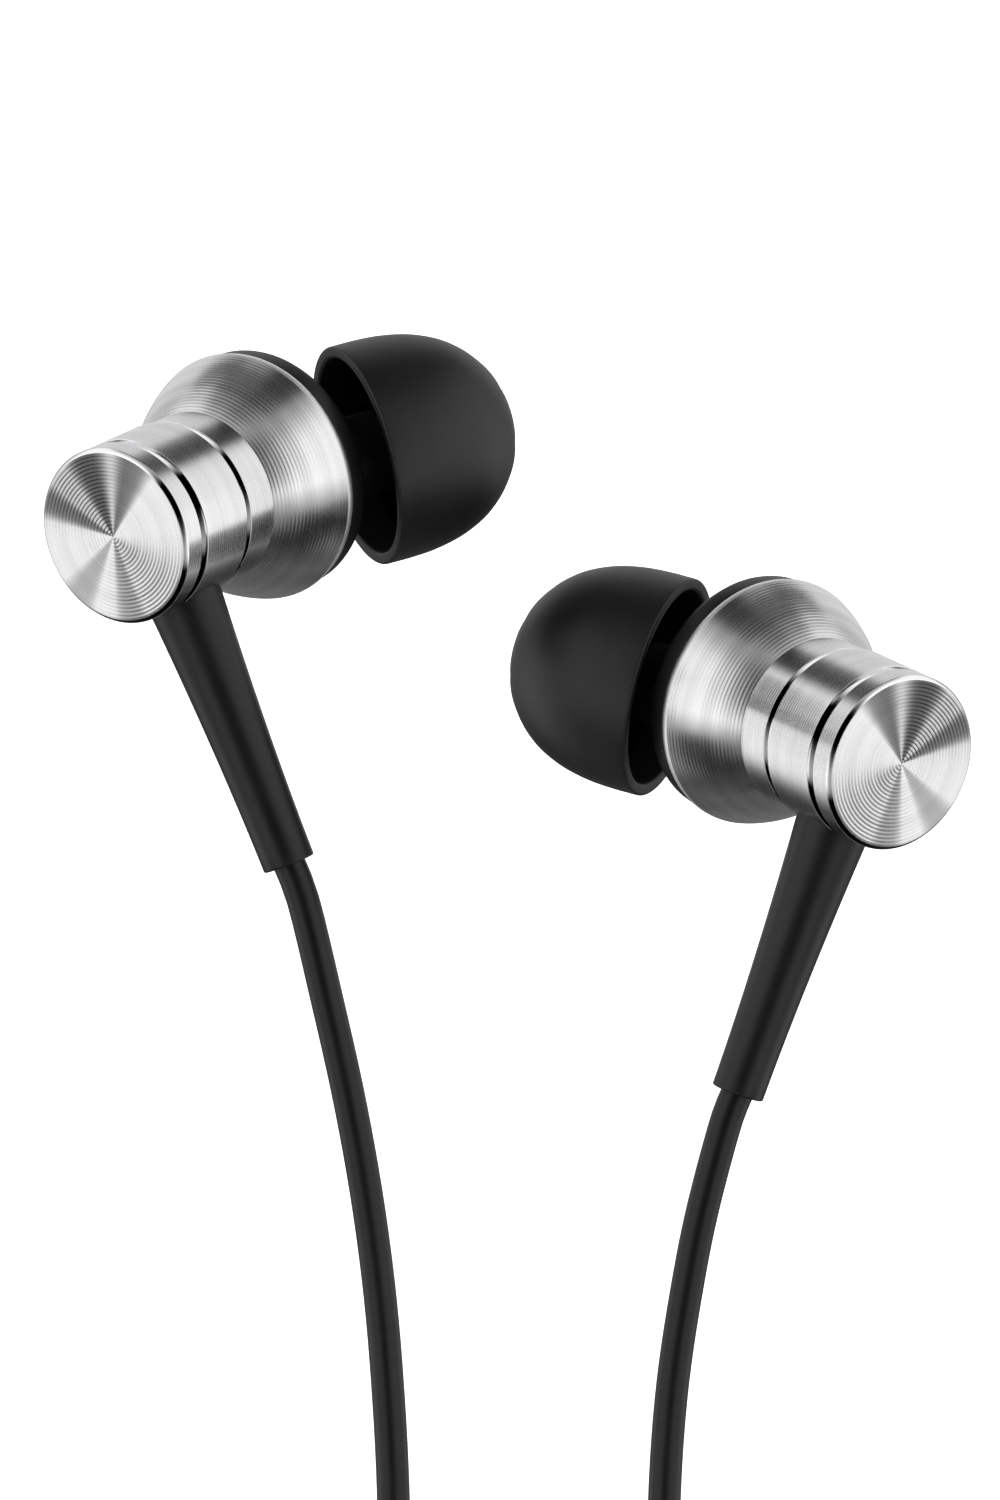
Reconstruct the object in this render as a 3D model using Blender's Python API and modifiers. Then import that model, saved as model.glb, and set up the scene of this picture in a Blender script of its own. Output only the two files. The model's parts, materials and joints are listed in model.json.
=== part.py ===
"""Wired in-ear earphones: two turned aluminium earpieces on one cord, with an in-line remote and a plug.

Lengths are in metres, +Z is up. The origin lies midway between the mouths of the two ear tips.
An earpiece has its own frame: Z runs along its barrel from the end cap to the nozzle side, and -Y is the
way in which the cord leaves it. The right earpiece is the mirror of the left one, hung a little lower.
"""
import math

import bpy
from mathutils import Matrix, Vector

MM = 0.001

# ---- fits between pieces ------------------------------------------------------------------------
fit = 0.05 * MM              # a seat that is pressed or glued
running = 0.12 * MM          # a piece that slides in another
touch = 0.3 * MM             # soft or flexible pieces that meet face to face

# ---- placing of the two earpieces ---------------------------------------------------------------
mouth_apart = 1.34 * MM      # between the two ear tips' mouths, across
bud_drop = 13.13 * MM        # the right earpiece hangs this much lower
barrel_heading = 53.5        # degrees from +X towards +Y
barrel_rise = 8.1
boot_roll = 20.0             # how far the strain relief swings round the barrel

# ---- end cap and rear housing (turned aluminium) ------------------------------------------------
barrel_r = 5.04 * MM
barrel_bore = 4.2 * MM
cap_length = 1.48 * MM       # face to the first open groove
cap_chamfer = 0.22 * MM
cap_floor = 0.9 * MM         # thickness of the cap's disc
spigot_length = 0.55 * MM    # how far the cap reaches into the barrel
spigot_wall = 0.75 * MM
groove_width = 0.54 * MM
groove_depth = 0.30 * MM
groove_2_z = 5.67 * MM       # start of the second groove
neck_step = 0.14 * MM       # the neck behind the second groove is this much thinner
flare_z = 8.3 * MM           # where the neck turns into the bell
bell_z = 12.45 * MM          # where the bell ends in its polished land
bell_r = 7.04 * MM
bell_swing = 12.5            # degrees from the chord to the tangent, at each end of the flare
rim_land = 0.32 * MM
rim_chamfer = 0.14 * MM
bell_wall = 0.62 * MM
bell_seat_depth = 1.35 * MM  # the front housing's spigot goes in this far

# ---- front housing and nozzle (moulded plastic) -------------------------------------------------
front_r = 6.9 * MM
front_ring = 1.3 * MM        # height of its visible rim
front_round = 0.6 * MM
dome_height = 1.5 * MM
front_wall = 0.75 * MM
nozzle_lean = 31.6           # degrees from the barrel's axis
nozzle_drop = 6.4
nozzle_pivot_y = -0.95 * MM
nozzle_pivot_z = 11.5 * MM
nozzle_r = 2.3 * MM
nozzle_lip_r = 2.48 * MM
nozzle_lip = 0.9 * MM
nozzle_bore = 1.75 * MM
nozzle_root_r = 3.5 * MM
nozzle_root = 4.9 * MM       # from the pivot to the end of the tapered root
nozzle_end = 12.9 * MM       # from the pivot to the nozzle's end
mesh_thickness = 0.15 * MM
mesh_seat = 0.3 * MM
nozzle_bore_start = 3.4 * MM  # from the pivot to the front chamber

# ---- driver -------------------------------------------------------------------------------------
driver_r = 5.1 * MM
driver_height = 2.3 * MM
driver_wall = 0.5 * MM
gasket_thickness = 0.2 * MM
gasket_width = 0.7 * MM
diaphragm_skin = 0.1 * MM
diaphragm_rise = 0.45 * MM
coil_r = 2.45 * MM
coil_wall = 0.2 * MM
coil_height = 0.9 * MM
magnet_gap = 0.3 * MM        # between the magnet and the voice coil
plate_lip = 0.1 * MM
magnet_height = 0.9 * MM
plate_height = 0.3 * MM
yoke_wall = 0.5 * MM
yoke_floor = 0.35 * MM
board_r = 2.9 * MM
board_thickness = 0.3 * MM
filter_r = 1.6 * MM
filter_thickness = 0.4 * MM

# ---- ear tip (silicone) -------------------------------------------------------------------------
tip_r = 6.28 * MM
tip_length = 8.8 * MM
tip_seat = 6.8 * MM          # from the nozzle's pivot to the skirt's open edge
tip_lip = 0.68 * MM
tip_mouth_bore = 1.95 * MM
tip_core_wall = 0.65 * MM
tip_core_start = 1.1 * MM    # the core's end, inside the skirt's edge
tip_core_end = 6.35 * MM     # the nozzle's bore in the core ends here
tip_web_z = 6.9 * MM
tip_travel = 8.0 * MM

# ---- strain relief ------------------------------------------------------------------------------
boot_z = 3.67 * MM           # along the barrel
boot_end = 20.6 * MM         # from the barrel's axis
boot_top_r = 2.1 * MM
boot_end_r = 1.485 * MM
boot_neck_r = 1.4 * MM
boot_neck_reach = 1.2 * MM   # from the barrel's surface into the boot
crimp_wall = 0.375 * MM
crimp_length = 1.5 * MM
crimp_clear = 0.25 * MM      # between the crimp and the cap's spigot

# ---- cord ---------------------------------------------------------------------------------------
cord_r = 0.925 * MM
cord_step = 4.6 * MM
turn_gap = 0.1 * MM
boot_slack = 0.075 * MM      # round the cord in the strain relief
hank_x, hank_z = -8.7 * MM, -155.0 * MM
hank_front_y = -17.55 * MM
hank_layers = 4
hank_run = 32.0 * MM
hank_r = 13.65 * MM
hank_slot_r = 4.85 * MM
pair_turn_r = 10.2 * MM      # where the two ear cords join the hank
tie_height = 7.0 * MM
tie_lift = 7.0 * MM
tie_thickness = 0.8 * MM
tie_slack = 0.35 * MM        # between the tie and what it holds
tie_corner = 0.3 * MM

# ---- cord slider and splitter -------------------------------------------------------------------
slider_x, slider_y, slider_z = 1.5 * MM, -14.6 * MM, -116.5 * MM
slider_size = (6.6 * MM, 3.9 * MM, 7.0 * MM)
slider_web = 0.65 * MM       # between the two cords
slider_travel = 7.0 * MM
split_r = 1.7 * MM
split_tail_r = 1.2 * MM
split_length = 13.0 * MM
split_x = -2.85 * MM         # from the hank's middle

# ---- in-line remote -----------------------------------------------------------------------------
remote_x, remote_y, remote_z = 8.4 * MM, -14.6 * MM, -74.5 * MM
remote_size = (6.6 * MM, 5.2 * MM, 32.0 * MM)
remote_wall = 0.75 * MM
remote_corner = 1.1 * MM
button_size = (3.4 * MM, 6.0 * MM)
button_pitch = 7.6 * MM
button_proud = 0.5 * MM
button_flange = 0.45 * MM
button_flange_height = 0.5 * MM
button_corner = 0.4 * MM
button_travel = 0.3 * MM
remote_board_thickness = 0.6 * MM
switch_r = 1.4 * MM
switch_height = 1.05 * MM
microphone_r = 1.3 * MM
microphone_height = 0.8 * MM
microphone_hole_r = 0.45 * MM
microphone_z = 13.0 * MM

# ---- plug (3.5 mm, four poles) ------------------------------------------------------------------
plug_x = -5.9 * MM           # from the hank's middle
plug_gap = 0.45 * MM         # between the hank and the plug
plug_boot_z = -3.6 * MM      # lower end of its boot, from the hank's middle
plug_boot_length = 7.0 * MM
plug_boot_r = 1.5 * MM
plug_boot_top_r = 1.9 * MM
plug_r = 2.6 * MM
plug_length = 15.0 * MM
pin_r = 1.75 * MM
pin_bore = 0.95 * MM
insulator = 0.45 * MM
sleeve_length = 3.7 * MM     # of the pin's sleeve, in front of the housing
pin_seat = 1.2 * MM          # how far the pin reaches into the housing
plug_edge = 0.3 * MM
ring_length = 1.9 * MM
tip_pole_length = 4.3 * MM
tip_neck_r = 1.2 * MM

round_steps = 30
small_steps = 18
hole_steps = 16
cut_past = 1.0 * MM          # a cutter reaches this far past what it cuts


# ---- scene helpers ------------------------------------------------------------------------------
for old in list(bpy.data.objects):
    bpy.data.objects.remove(old, do_unlink=True)

parts = bpy.data.collections.new("wired_earphones")
guides = bpy.data.collections.new("cutters")
bpy.context.scene.collection.children.link(parts)
bpy.context.scene.collection.children.link(guides)


def material(name, colour, roughness, metallic=0.0):
    made = bpy.data.materials.new(name)
    made.use_nodes = True
    shader = made.node_tree.nodes["Principled BSDF"]
    shader.inputs["Base Color"].default_value = (*colour, 1.0)
    shader.inputs["Roughness"].default_value = roughness
    shader.inputs["Metallic"].default_value = metallic
    return made


aluminium = material("turned_aluminium", (0.78, 0.78, 0.79), 0.25, 1.0)
black_plastic = material("black_plastic", (0.02, 0.02, 0.022), 0.4)
silicone = material("black_silicone", (0.018, 0.018, 0.018), 0.55)
cord_jacket = material("cord_jacket", (0.015, 0.015, 0.016), 0.5)
steel = material("plated_steel", (0.62, 0.62, 0.64), 0.3, 1.0)
magnet_metal = material("nickel_magnet", (0.5, 0.5, 0.52), 0.35, 1.0)
copper = material("enamelled_copper", (0.72, 0.35, 0.16), 0.35, 1.0)
film = material("titanium_film", (0.45, 0.47, 0.5), 0.3, 0.8)
board = material("circuit_board", (0.02, 0.16, 0.07), 0.5)
felt = material("damping_felt", (0.75, 0.75, 0.72), 0.95)
gold = material("plated_contact", (0.85, 0.62, 0.28), 0.2, 1.0)
brass = material("crimped_brass", (0.75, 0.6, 0.32), 0.35, 1.0)


def put(data, name, look, place, cutter=False):
    """Adds an object that holds the data, at the given matrix."""
    made = bpy.data.objects.new(name, data)
    made.matrix_world = place
    if cutter:
        guides.objects.link(made)
        made.hide_render = True
        made.display_type = "WIRE"
    else:
        parts.objects.link(made)
        data.materials.append(look)
    return made


def turned(name, profile, look, place, steps=round_steps, cutter=False):
    """A lathe shape. The profile is a list of (radius, height) that runs down the outer side.

    It starts and ends on the axis, or it goes back up the bore and is closed.
    """
    mesh = bpy.data.meshes.new(name)
    points = [(radius, 0.0, height) for radius, height in profile]
    edges = [(i, i + 1) for i in range(len(points) - 1)]
    if profile[0][0] > 0.0:
        edges.append((len(points) - 1, 0))
    mesh.from_pydata(points, edges, [])
    made = put(mesh, name, look, place, cutter)
    screw = made.modifiers.new("turn", "SCREW")
    screw.steps = steps
    screw.render_steps = steps
    screw.use_merge_vertices = True
    screw.merge_threshold = 1e-6
    screw.use_smooth_shade = True
    return made


def disc(name, radius, top, height, look, place, steps=small_steps, cutter=False):
    low = top - height
    return turned(name, [(0.0, top), (radius, top), (radius, low), (0.0, low)], look, place, steps, cutter)


def block(name, size, look, place, corner=0.0, cutter=False):
    """A box with rounded edges."""
    bpy.ops.mesh.primitive_cube_add(size=1.0)
    made = bpy.context.object
    made.name = name
    made.data.transform(Matrix.Diagonal((*size, 1.0)))
    for home in list(made.users_collection):
        home.objects.unlink(made)
    mesh = made.data
    bpy.data.objects.remove(made, do_unlink=True)
    made = put(mesh, name, look, place, cutter)
    if corner:
        bevel = made.modifiers.new("corners", "BEVEL")
        bevel.width = corner
        bevel.segments = 3
        bevel.limit_method = "ANGLE"
    return made


def boolean(target, tool, operation):
    cut = target.modifiers.new(operation.lower(), "BOOLEAN")
    cut.operation = operation
    cut.solver = "EXACT"
    cut.object = tool


def outline_plate(name, outlines, thickness, look, place):
    """A flat plate: the first outline is its edge, and the others are holes in it."""
    curve = bpy.data.curves.new(name, "CURVE")
    curve.dimensions = "2D"
    curve.fill_mode = "BOTH"
    curve.extrude = thickness / 2
    for outline in outlines:
        spline = curve.splines.new("POLY")
        spline.points.add(len(outline) - 1)
        for point, (x, y) in zip(spline.points, outline):
            point.co = (x, y, 0.0, 1.0)
        spline.use_cyclic_u = True
    return put(curve, name, look, place)


def arc(x, y, radius, start, end, steps):
    """Points on a circle, with the angles in degrees."""
    turns = [math.radians(start + (end - start) * i / steps) for i in range(steps + 1)]
    return [(x + radius * math.cos(a), y + radius * math.sin(a)) for a in turns]


def smooth_points(route, step):
    """Points spaced evenly along a Catmull-Rom curve through the route."""
    knots = [Vector(p) for p in route]
    knots = [2 * knots[0] - knots[1], *knots, 2 * knots[-1] - knots[-2]]
    fine = []
    for a, b, c, d in zip(knots, knots[1:], knots[2:], knots[3:]):
        for i in range(24):
            t = i / 24
            fine.append(0.5 * (2 * b + (c - a) * t + (2 * a - 5 * b + 4 * c - d) * t ** 2
                               + (3 * b - a - 3 * c + d) * t ** 3))
    fine.append(knots[-2])
    lengths = [0.0]
    for a, b in zip(fine, fine[1:]):
        lengths.append(lengths[-1] + (b - a).length)
    count = max(2, round(lengths[-1] / step))
    even = []
    j = 0
    for i in range(count + 1):
        want = lengths[-1] * i / count
        while j < len(fine) - 2 and lengths[j + 1] < want:
            j += 1
        share = (want - lengths[j]) / (lengths[j + 1] - lengths[j])
        even.append(fine[j].lerp(fine[j + 1], min(1.0, share)))
    return even


def cord(name, points, radius, look):
    """A round cord along the points."""
    curve = bpy.data.curves.new(name, "CURVE")
    curve.dimensions = "3D"
    curve.bevel_depth = radius
    curve.bevel_resolution = 2
    curve.use_fill_caps = True
    spline = curve.splines.new("POLY")
    spline.points.add(len(points) - 1)
    for point, place in zip(spline.points, points):
        point.co = (*place, 1.0)
    return put(curve, name, look, Matrix.Identity(4))


def at(x, y, z):
    return Matrix.Translation((x, y, z))


def frame_from(origin, x_axis, y_axis, z_axis):
    turn = Matrix((x_axis, y_axis, z_axis)).transposed()
    return Matrix.Translation(origin) @ turn.to_4x4()


# ---- sizes that follow from the ones above ------------------------------------------------------
boot_bore = cord_r + boot_slack
crimp_r = cord_r + fit + crimp_wall
crimp_start = barrel_bore - spigot_wall - crimp_clear - crimp_length     # from the barrel's axis
turn_pitch = 2 * cord_r + turn_gap
hank_depth = hank_layers * turn_pitch
hank_y = hank_front_y + hank_depth / 2
hank_back_y = hank_front_y + hank_depth
plug_axis_x = hank_x + plug_x
plug_y = hank_back_y + plug_gap + plug_r
slider_gap = 2 * cord_r + slider_web
magnet_r = coil_r - coil_wall - magnet_gap

# ---- profiles of the earpiece -------------------------------------------------------------------
groove_r = barrel_r - groove_depth
neck_r = barrel_r - neck_step
rear_start = cap_length + groove_width
rim_z = bell_z + rim_land + rim_chamfer
front_z = rim_z + fit
seat_r = bell_r - bell_wall
seat_z = rim_z - bell_seat_depth
ring_top = front_z + front_ring


def flare(steps):
    """The bell's outer curve, from its land down to the neck: one arc of a circle."""
    chord_r, chord_z = bell_r - neck_r, bell_z - flare_z
    length = math.hypot(chord_r, chord_z)
    slope = math.atan2(chord_r, chord_z)
    swing = math.radians(bell_swing)
    radius = length / (2 * math.sin(swing))
    points = []
    for i in range(steps + 1):
        turn = slope - swing + 2 * swing * i / steps
        along = radius * (math.sin(turn) - math.sin(slope - swing))
        out = radius * (math.cos(slope - swing) - math.cos(turn))
        points.append((bell_r - out, bell_z - along))
    return points


def cap_profile():
    spigot_r = barrel_bore - fit
    spigot_end = rear_start + spigot_length
    return [(0.0, cap_floor), (spigot_r - spigot_wall, cap_floor), (spigot_r - spigot_wall, spigot_end),
            (spigot_r, spigot_end), (spigot_r, rear_start - fit), (groove_r, rear_start - fit),
            (groove_r, cap_length), (barrel_r, cap_length), (barrel_r, cap_chamfer),
            (barrel_r - cap_chamfer, 0.0), (0.0, 0.0)]


def rear_profile():
    groove_end = groove_2_z + groove_width
    inner_flare = flare_z - bell_wall
    return [(bell_r - rim_chamfer, rim_z), (bell_r, rim_z - rim_chamfer), *flare(8),
            (neck_r, groove_end), (groove_r, groove_end), (groove_r, groove_2_z), (barrel_r, groove_2_z),
            (barrel_r, rear_start), (barrel_bore, rear_start), (barrel_bore, inner_flare + bell_wall),
            (driver_r + running, seat_z - 2 * bell_wall), (driver_r + running, seat_z - bell_wall),
            (seat_r, seat_z), (seat_r, rim_z)]


def front_profile():
    """The rim and dome, solid: the chamber is cut out of it."""
    shoulder = arc(front_r - front_round, ring_top, front_round, 0, 60, 3)
    dome = [(front_r * k, ring_top + dome_height * math.sqrt(1.0 - k ** 2)) for k in (0.0, 0.35, 0.62)]
    return [*dome, *reversed(shoulder), (front_r, front_z), (seat_r - fit, front_z),
            (seat_r - fit, seat_z + touch), (0.0, seat_z + touch)]


def nozzle_profile():
    lip_start = nozzle_end - nozzle_lip
    return [(0.0, nozzle_end), (nozzle_lip_r, nozzle_end), (nozzle_lip_r, lip_start), (nozzle_r, lip_start),
            (nozzle_r, nozzle_root), (nozzle_root_r, nozzle_root - 1.2 * MM), (nozzle_root_r, 2.6 * MM),
            (0.0, 2.6 * MM)]


def chamber_profile():
    """What is cut out of the front housing: the driver's seat and the front chamber."""
    chamber_r = driver_r - gasket_width
    gasket_z = front_z + gasket_thickness
    crown = ring_top + dome_height
    return [(0.0, crown - front_wall), (chamber_r * 0.6, crown - 2 * front_wall),
            (chamber_r, ring_top - front_wall / 2), (chamber_r, gasket_z), (driver_r + fit, gasket_z),
            (driver_r + fit, seat_z), (0.0, seat_z)]


def tip_profile():
    """The ear tip from its mouth down the outside to the skirt's edge, and back up inside."""
    core_bore = nozzle_lip_r + running
    core_r = core_bore + tip_core_wall
    dome = [(0.34, 0.985), (0.47, 0.955), (0.60, 0.89), (0.73, 0.80), (0.845, 0.68), (0.935, 0.52),
            (0.985, 0.34), (1.0, 0.17)]
    outside = [(tip_r * a, tip_length * b) for a, b in dome]
    inner_r = tip_r - tip_lip
    inside = [(inner_r, 0.0), (inner_r, 2.4 * MM), (inner_r * 0.9, 4.4 * MM), (inner_r * 0.74, 6.0 * MM),
              (core_r, tip_web_z - 0.1 * MM), (core_r, tip_core_start), (core_bore, tip_core_start),
              (core_bore, tip_core_end), (tip_mouth_bore, tip_core_end + 0.3 * MM),
              (tip_mouth_bore, tip_length)]
    edge = [(tip_r, 0.12 * MM), (tip_r - 0.12 * MM, 0.0)]
    return [*outside, *edge, *inside]


def boot_profile():
    """Along the cord's way out; height 0 is the barrel's axis, and the cord leaves at -boot_end."""
    top = -(barrel_r - 0.9 * MM)
    return [(boot_bore, top), (boot_top_r, top), (boot_top_r, -barrel_r), (boot_end_r, -boot_end),
            (boot_bore, -boot_end)]


# ---- one earpiece -------------------------------------------------------------------------------
def earpiece(side):
    """Builds one earpiece: side is -1 for the left one and 1 for the right one."""
    label = "left" if side < 0 else "right"
    heading, rise = math.radians(barrel_heading), math.radians(barrel_rise)
    along = Vector((-side * math.cos(rise) * math.cos(heading), math.cos(rise) * math.sin(heading),
                    math.sin(rise)))
    upright = (Vector((0, 0, 1)) - along.z * along).normalized()
    across = along.cross(upright)
    roll = math.radians(boot_roll)
    up = upright * math.cos(roll) + side * across * math.sin(roll)
    right = up.cross(along)
    lean, drop = math.radians(nozzle_lean), math.radians(nozzle_drop)
    nozzle_dir = Vector((side * math.sin(lean) * math.cos(drop), -math.sin(drop),
                         math.cos(lean) * math.cos(drop)))
    pivot = Vector((0.0, nozzle_pivot_y, nozzle_pivot_z))
    mouth = Vector((side * mouth_apart / 2, 0.0, -side * bud_drop / 2))
    turn = frame_from((0, 0, 0), right, up, along)
    origin = mouth - turn @ (pivot + (tip_seat + tip_length) * nozzle_dir)
    bud = Matrix.Translation(origin) @ turn
    nozzle_x = Vector((0, 1, 0)).cross(nozzle_dir).normalized()
    nozzle = bud @ frame_from(pivot, nozzle_x, nozzle_dir.cross(nozzle_x), nozzle_dir)
    tip = nozzle @ at(0, 0, tip_seat)
    exit_way = bud @ at(0, 0, boot_z) @ Matrix.Rotation(math.radians(-90), 4, "X")

    turned(label + "_end_cap", cap_profile(), aluminium, bud)
    rear = turned(label + "_rear_housing", rear_profile(), aluminium, bud)
    hole_depth = barrel_r + cut_past
    hole = turned(label + "_boot_hole", [(0.0, -2.0 * MM), (boot_neck_r + fit, -2.0 * MM),
                                         (boot_neck_r + fit, -hole_depth), (0.0, -hole_depth)],
                  None, exit_way, small_steps, cutter=True)
    boolean(rear, hole, "DIFFERENCE")

    front = turned(label + "_front_housing", front_profile(), black_plastic, bud)
    spout = turned(label + "_nozzle_body", nozzle_profile(), None, nozzle, small_steps, cutter=True)
    chamber = turned(label + "_chamber", chamber_profile(), None, bud, small_steps, cutter=True)
    seat_bore, seat_floor = nozzle_bore + mesh_seat, nozzle_end - mesh_seat
    bore_top = nozzle_end + cut_past
    bore = turned(label + "_bore", [(0.0, bore_top), (seat_bore, bore_top), (seat_bore, seat_floor),
                                    (nozzle_bore, seat_floor), (nozzle_bore, nozzle_bore_start),
                                    (0.0, nozzle_bore_start)], None, nozzle, small_steps, cutter=True)
    boolean(front, spout, "UNION")
    boolean(front, chamber, "DIFFERENCE")
    boolean(front, bore, "DIFFERENCE")

    mesh_r = nozzle_bore + mesh_seat - fit
    holes = [arc(0.0, 0.0, 0.35 * MM, 0, 324, 9)]
    for i in range(6):
        turn_to = math.radians(60 * i)
        holes.append(arc(1.15 * MM * math.cos(turn_to), 1.15 * MM * math.sin(turn_to), 0.35 * MM, 0, 324, 9))
    outline_plate(label + "_nozzle_mesh", [arc(0, 0, mesh_r, 0, 345, 23), *holes], mesh_thickness, steel,
                  nozzle @ at(0, 0, nozzle_end - mesh_seat + fit + mesh_thickness / 2))

    driver(label, bud)
    turned(label + "_ear_tip", tip_profile(), silicone, tip)
    strain_relief(label, bud, exit_way)
    return exit_way


def driver(label, bud):
    """The moving-coil driver, stacked behind the front housing's step."""
    gasket_top = front_z + gasket_thickness - fit
    gasket_low = gasket_top - gasket_thickness
    turned(label + "_gasket", [(driver_r, gasket_top), (driver_r, gasket_low),
                               (driver_r - gasket_width, gasket_low), (driver_r - gasket_width, gasket_top)],
           silicone, bud, small_steps)
    top = gasket_low - fit
    low = top - driver_height
    ledge = top - 0.25 * MM
    inner = driver_r - driver_wall
    yoke_r = coil_r + 2 * coil_wall + yoke_wall
    floor_top = low + 0.35 * MM
    turned(label + "_driver_frame", [(driver_r, top), (driver_r, low), (yoke_r + fit, low),
                                     (yoke_r + fit, floor_top), (inner - 0.4 * MM, floor_top),
                                     (inner - 0.4 * MM, ledge), (inner, ledge), (inner, top)],
           black_plastic, bud, small_steps)
    skin_z = ledge + fit
    dome_z = skin_z + diaphragm_rise
    outer = [(0.0, dome_z + diaphragm_skin), (coil_r * 0.6, dome_z + diaphragm_skin - 0.12 * MM),
             (coil_r, skin_z + diaphragm_skin), (inner - fit, skin_z + diaphragm_skin)]
    under = [(inner - fit, skin_z), (coil_r, skin_z), (coil_r * 0.6, dome_z - 0.12 * MM), (0.0, dome_z)]
    turned(label + "_diaphragm", [*outer, *under], film, bud, small_steps)
    coil_top = skin_z - fit
    turned(label + "_voice_coil", [(coil_r, coil_top), (coil_r, coil_top - coil_height),
                                   (coil_r - coil_wall, coil_top - coil_height),
                                   (coil_r - coil_wall, coil_top)], copper, bud, small_steps)
    yoke_top = coil_top - 0.3 * MM
    yoke_low = low - 0.2 * MM
    turned(label + "_yoke", [(yoke_r - yoke_wall, yoke_top), (yoke_r, yoke_top), (yoke_r, yoke_low),
                             (0.0, yoke_low), (0.0, yoke_low + yoke_floor),
                             (yoke_r - yoke_wall, yoke_low + yoke_floor)], steel, bud, small_steps)
    magnet_low = yoke_low + yoke_floor + fit
    magnet_top = magnet_low + magnet_height
    disc(label + "_magnet", magnet_r, magnet_top, magnet_height, magnet_metal, bud)
    plate_top = magnet_top + fit + plate_height
    disc(label + "_top_plate", magnet_r + plate_lip, plate_top, plate_height, steel, bud)
    board_top = yoke_low - fit
    disc(label + "_driver_board", board_r, board_top, board_thickness, board, bud)
    filter_top = board_top - board_thickness - fit
    disc(label + "_tuning_filter", filter_r, filter_top, filter_thickness, felt, bud)


def strain_relief(label, bud, exit_way):
    """The tapered boot, with a saddle that follows the barrel, and the crimp and lead inside it."""
    boot = turned(label + "_strain_relief", boot_profile(), silicone, exit_way, small_steps)
    saddle_r = barrel_r + fit
    saddle = disc(label + "_saddle", saddle_r, rim_z, 2 * rim_z, None, bud, round_steps, cutter=True)
    neck_top, neck_low = -barrel_bore - fit, -barrel_r - boot_neck_reach
    neck = turned(label + "_boot_neck", [(boot_bore, neck_top), (boot_neck_r, neck_top),
                                         (boot_neck_r, neck_low), (boot_bore, neck_low)],
                  None, exit_way, small_steps, cutter=True)
    boolean(boot, saddle, "DIFFERENCE")
    boolean(boot, neck, "UNION")
    crimp_bore, crimp_end = cord_r + fit, crimp_start + crimp_length
    turned(label + "_cord_crimp", [(crimp_bore, -crimp_start), (crimp_r, -crimp_start),
                                   (crimp_r, -crimp_end), (crimp_bore, -crimp_end)],
           brass, exit_way, small_steps)
    lead_top, lead_length = touch - crimp_start, boot_end - crimp_start
    disc(label + "_inner_lead", cord_r, lead_top, lead_length, cord_jacket, exit_way)


left_exit = earpiece(-1)
right_exit = earpiece(1)


# ---- free cords ---------------------------------------------------------------------------------
def hank_top(x):
    """Height of the hank's upper outline at the distance x from its middle."""
    return hank_z + hank_run / 2 + math.sqrt(hank_r ** 2 - x ** 2)


left_start = left_exit @ Vector((0, 0, -boot_end - touch))
right_start = right_exit @ Vector((0, 0, -boot_end - touch))
left_way = (left_exit.to_3x3() @ Vector((0, 0, -1))).normalized()
right_way = (right_exit.to_3x3() @ Vector((0, 0, -1))).normalized()
join_x = hank_x + pair_turn_r
join_z = hank_top(pair_turn_r - 1.3 * cord_r) + touch
first_y = hank_front_y + turn_pitch / 2
second_y = first_y + turn_pitch
remote_top = remote_z + remote_size[2] / 2 + touch
remote_low = remote_z - remote_size[2] / 2 - touch
slider_left = slider_x - slider_gap / 2
slider_right = slider_x + slider_gap / 2
slider_top = slider_z + slider_size[2] / 2 + slider_travel
slider_low = slider_z - slider_size[2] / 2

left_route = [left_start, left_start + 2.5 * MM * left_way,
              (-10.39 * MM, -14.3 * MM, -23.6 * MM), (-9.13 * MM, -14.5 * MM, -29.3 * MM),
              (-8.12 * MM, -14.6 * MM, -34.98 * MM), (-7.39 * MM, -14.6 * MM, -40.65 * MM),
              (-6.93 * MM, -14.6 * MM, -46.34 * MM), (-6.66 * MM, -14.6 * MM, -52.0 * MM),
              (-6.55 * MM, -14.6 * MM, -60.0 * MM), (-6.4 * MM, -14.6 * MM, -76.0 * MM),
              (-5.2 * MM, -14.6 * MM, -86.0 * MM), (-1.6 * MM, -14.6 * MM, -95.5 * MM),
              (slider_left, slider_y, slider_top + 3.0 * MM), (slider_left, slider_y, slider_top + 0.5 * MM),
              (slider_left, slider_y, slider_top - 3.5 * MM),
              (slider_left, slider_y, slider_low + 3.5 * MM), (slider_left, slider_y, slider_low - 0.3 * MM),
              (slider_left, slider_y, slider_low - 2.5 * MM),
              (slider_left + 0.25 * MM, first_y + 0.7 * MM, join_z + 3.2 * MM), (join_x, first_y, join_z)]
right_upper_route = [right_start, right_start + 2.0 * MM * right_way,
                     (10.5 * MM, -14.2 * MM, -36.1 * MM), (9.63 * MM, -14.45 * MM, -40.65 * MM),
                     (8.96 * MM, -14.6 * MM, -45.2 * MM), (8.57 * MM, -14.6 * MM, -49.75 * MM),
                     (remote_x, remote_y, -54.5 * MM), (remote_x, remote_y, remote_top)]
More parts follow.
